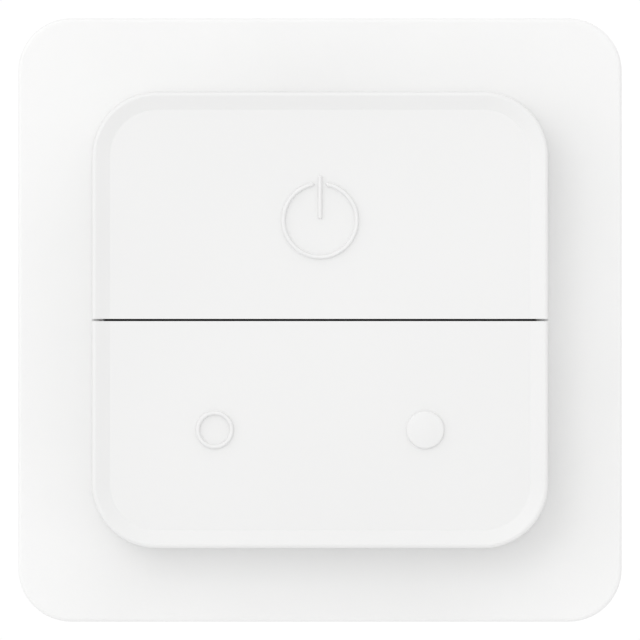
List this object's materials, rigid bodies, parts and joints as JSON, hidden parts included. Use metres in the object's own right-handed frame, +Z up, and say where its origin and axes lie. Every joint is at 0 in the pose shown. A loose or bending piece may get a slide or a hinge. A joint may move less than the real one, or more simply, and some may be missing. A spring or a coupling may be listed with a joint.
{
  "type": "wireless remote wall switch",
  "caption": "Square wall plate with a magnetic dock that holds a rounded battery remote; its front is split into a dished power key and a dished rocking dimmer key.",
  "frame": {"origin": "centre of the wall plate's back face, on the wall", "axes": "+Z up, +X to the right seen from the front, +Y into the wall, so the front faces -Y"},
  "size_m": [0.08, 0.0153, 0.08],
  "materials": {
    "plate_plastic": "fine moulded texture",
    "housing_plastic": "fine moulded texture",
    "key_plastic": "satin",
    "frame_plastic": "matt",
    "dark_plastic": "matt",
    "plunger_plastic": "matt",
    "foam": "closed-cell foam",
    "zinc_steel": "zinc plated",
    "nickel": "nickel plated",
    "cell_steel": "bright nickel-plated steel",
    "spring_steel": "plated spring strip",
    "shield_steel": "tinned",
    "board_laminate": "solder-masked laminate",
    "screw_steel": "zinc plated"
  },
  "bodies": {
    "wall_plate": {"wall_plate": "plate_plastic", "keeper_plate_upper": "zinc_steel", "keeper_plate_lower": "zinc_steel", "adhesive_pad_left": "foam", "adhesive_pad_right": "foam"},
    "remote": {"rear_housing": "housing_plastic", "key_frame": "frame_plastic", "circuit_board": "board_laminate", "battery_holder": "dark_plastic", "coin_cell": "cell_steel", "positive_contact": "spring_steel", "negative_contact": "spring_steel", "radio_board": "board_laminate", "radio_shield": "shield_steel", "power_switch": "dark_plastic", "dim_switch": "dark_plastic", "bright_switch": "dark_plastic", "magnet_1": "nickel", "magnet_2": "nickel", "magnet_3": "nickel", "magnet_4": "nickel", "housing_screws": "screw_steel"},
    "power_key": {"power_key": "key_plastic"},
    "dimmer_key": {"dimmer_key": "key_plastic"},
    "power_plunger": {"power_plunger": "plunger_plastic"},
    "dim_plunger": {"dim_plunger": "plunger_plastic"},
    "bright_plunger": {"bright_plunger": "plunger_plastic"},
    "battery_cover": {"battery_cover": "housing_plastic"}
  },
  "joints": [
    {"name": "remote_pull", "type": "slide", "parent": "wall_plate", "child": "remote", "axis": [0, -1, 0], "range_m": [0, 0.04]},
    {"name": "power_key_press", "type": "hinge", "parent": "remote", "child": "power_key", "pos_m": [0, -0.01235, 0.025], "axis": [1, 0, 0], "range_deg": [0, 1.2], "stiffness_Nm_per_rad": 1.1},
    {"name": "dimmer_key_rock", "type": "hinge", "parent": "remote", "child": "dimmer_key", "pos_m": [0, -0.01235, -0.0143], "axis": [0, 0, 1], "range_deg": [-1, 1], "stiffness_Nm_per_rad": 1.6},
    {"name": "power_plunger_slide", "type": "slide", "parent": "remote", "child": "power_plunger", "axis": [0, 1, 0], "range_m": [0, 0.00025]},
    {"name": "dim_plunger_slide", "type": "slide", "parent": "remote", "child": "dim_plunger", "axis": [0, 1, 0], "range_m": [-0.000245, 0.000245]},
    {"name": "bright_plunger_slide", "type": "slide", "parent": "remote", "child": "bright_plunger", "axis": [0, 1, 0], "range_m": [-0.000245, 0.000245]},
    {"name": "battery_cover_twist", "type": "hinge", "parent": "remote", "child": "battery_cover", "pos_m": [0, -0.00485, 0], "axis": [0, 1, 0], "range_deg": [0, 45]}
  ],
  "couplings": [
    {"joint": "power_plunger_slide", "follows": "power_key_press", "m_per_rad": 0.0119},
    {"joint": "dim_plunger_slide", "follows": "dimmer_key_rock", "m_per_rad": -0.014},
    {"joint": "bright_plunger_slide", "follows": "dimmer_key_rock", "m_per_rad": 0.014}
  ]
}
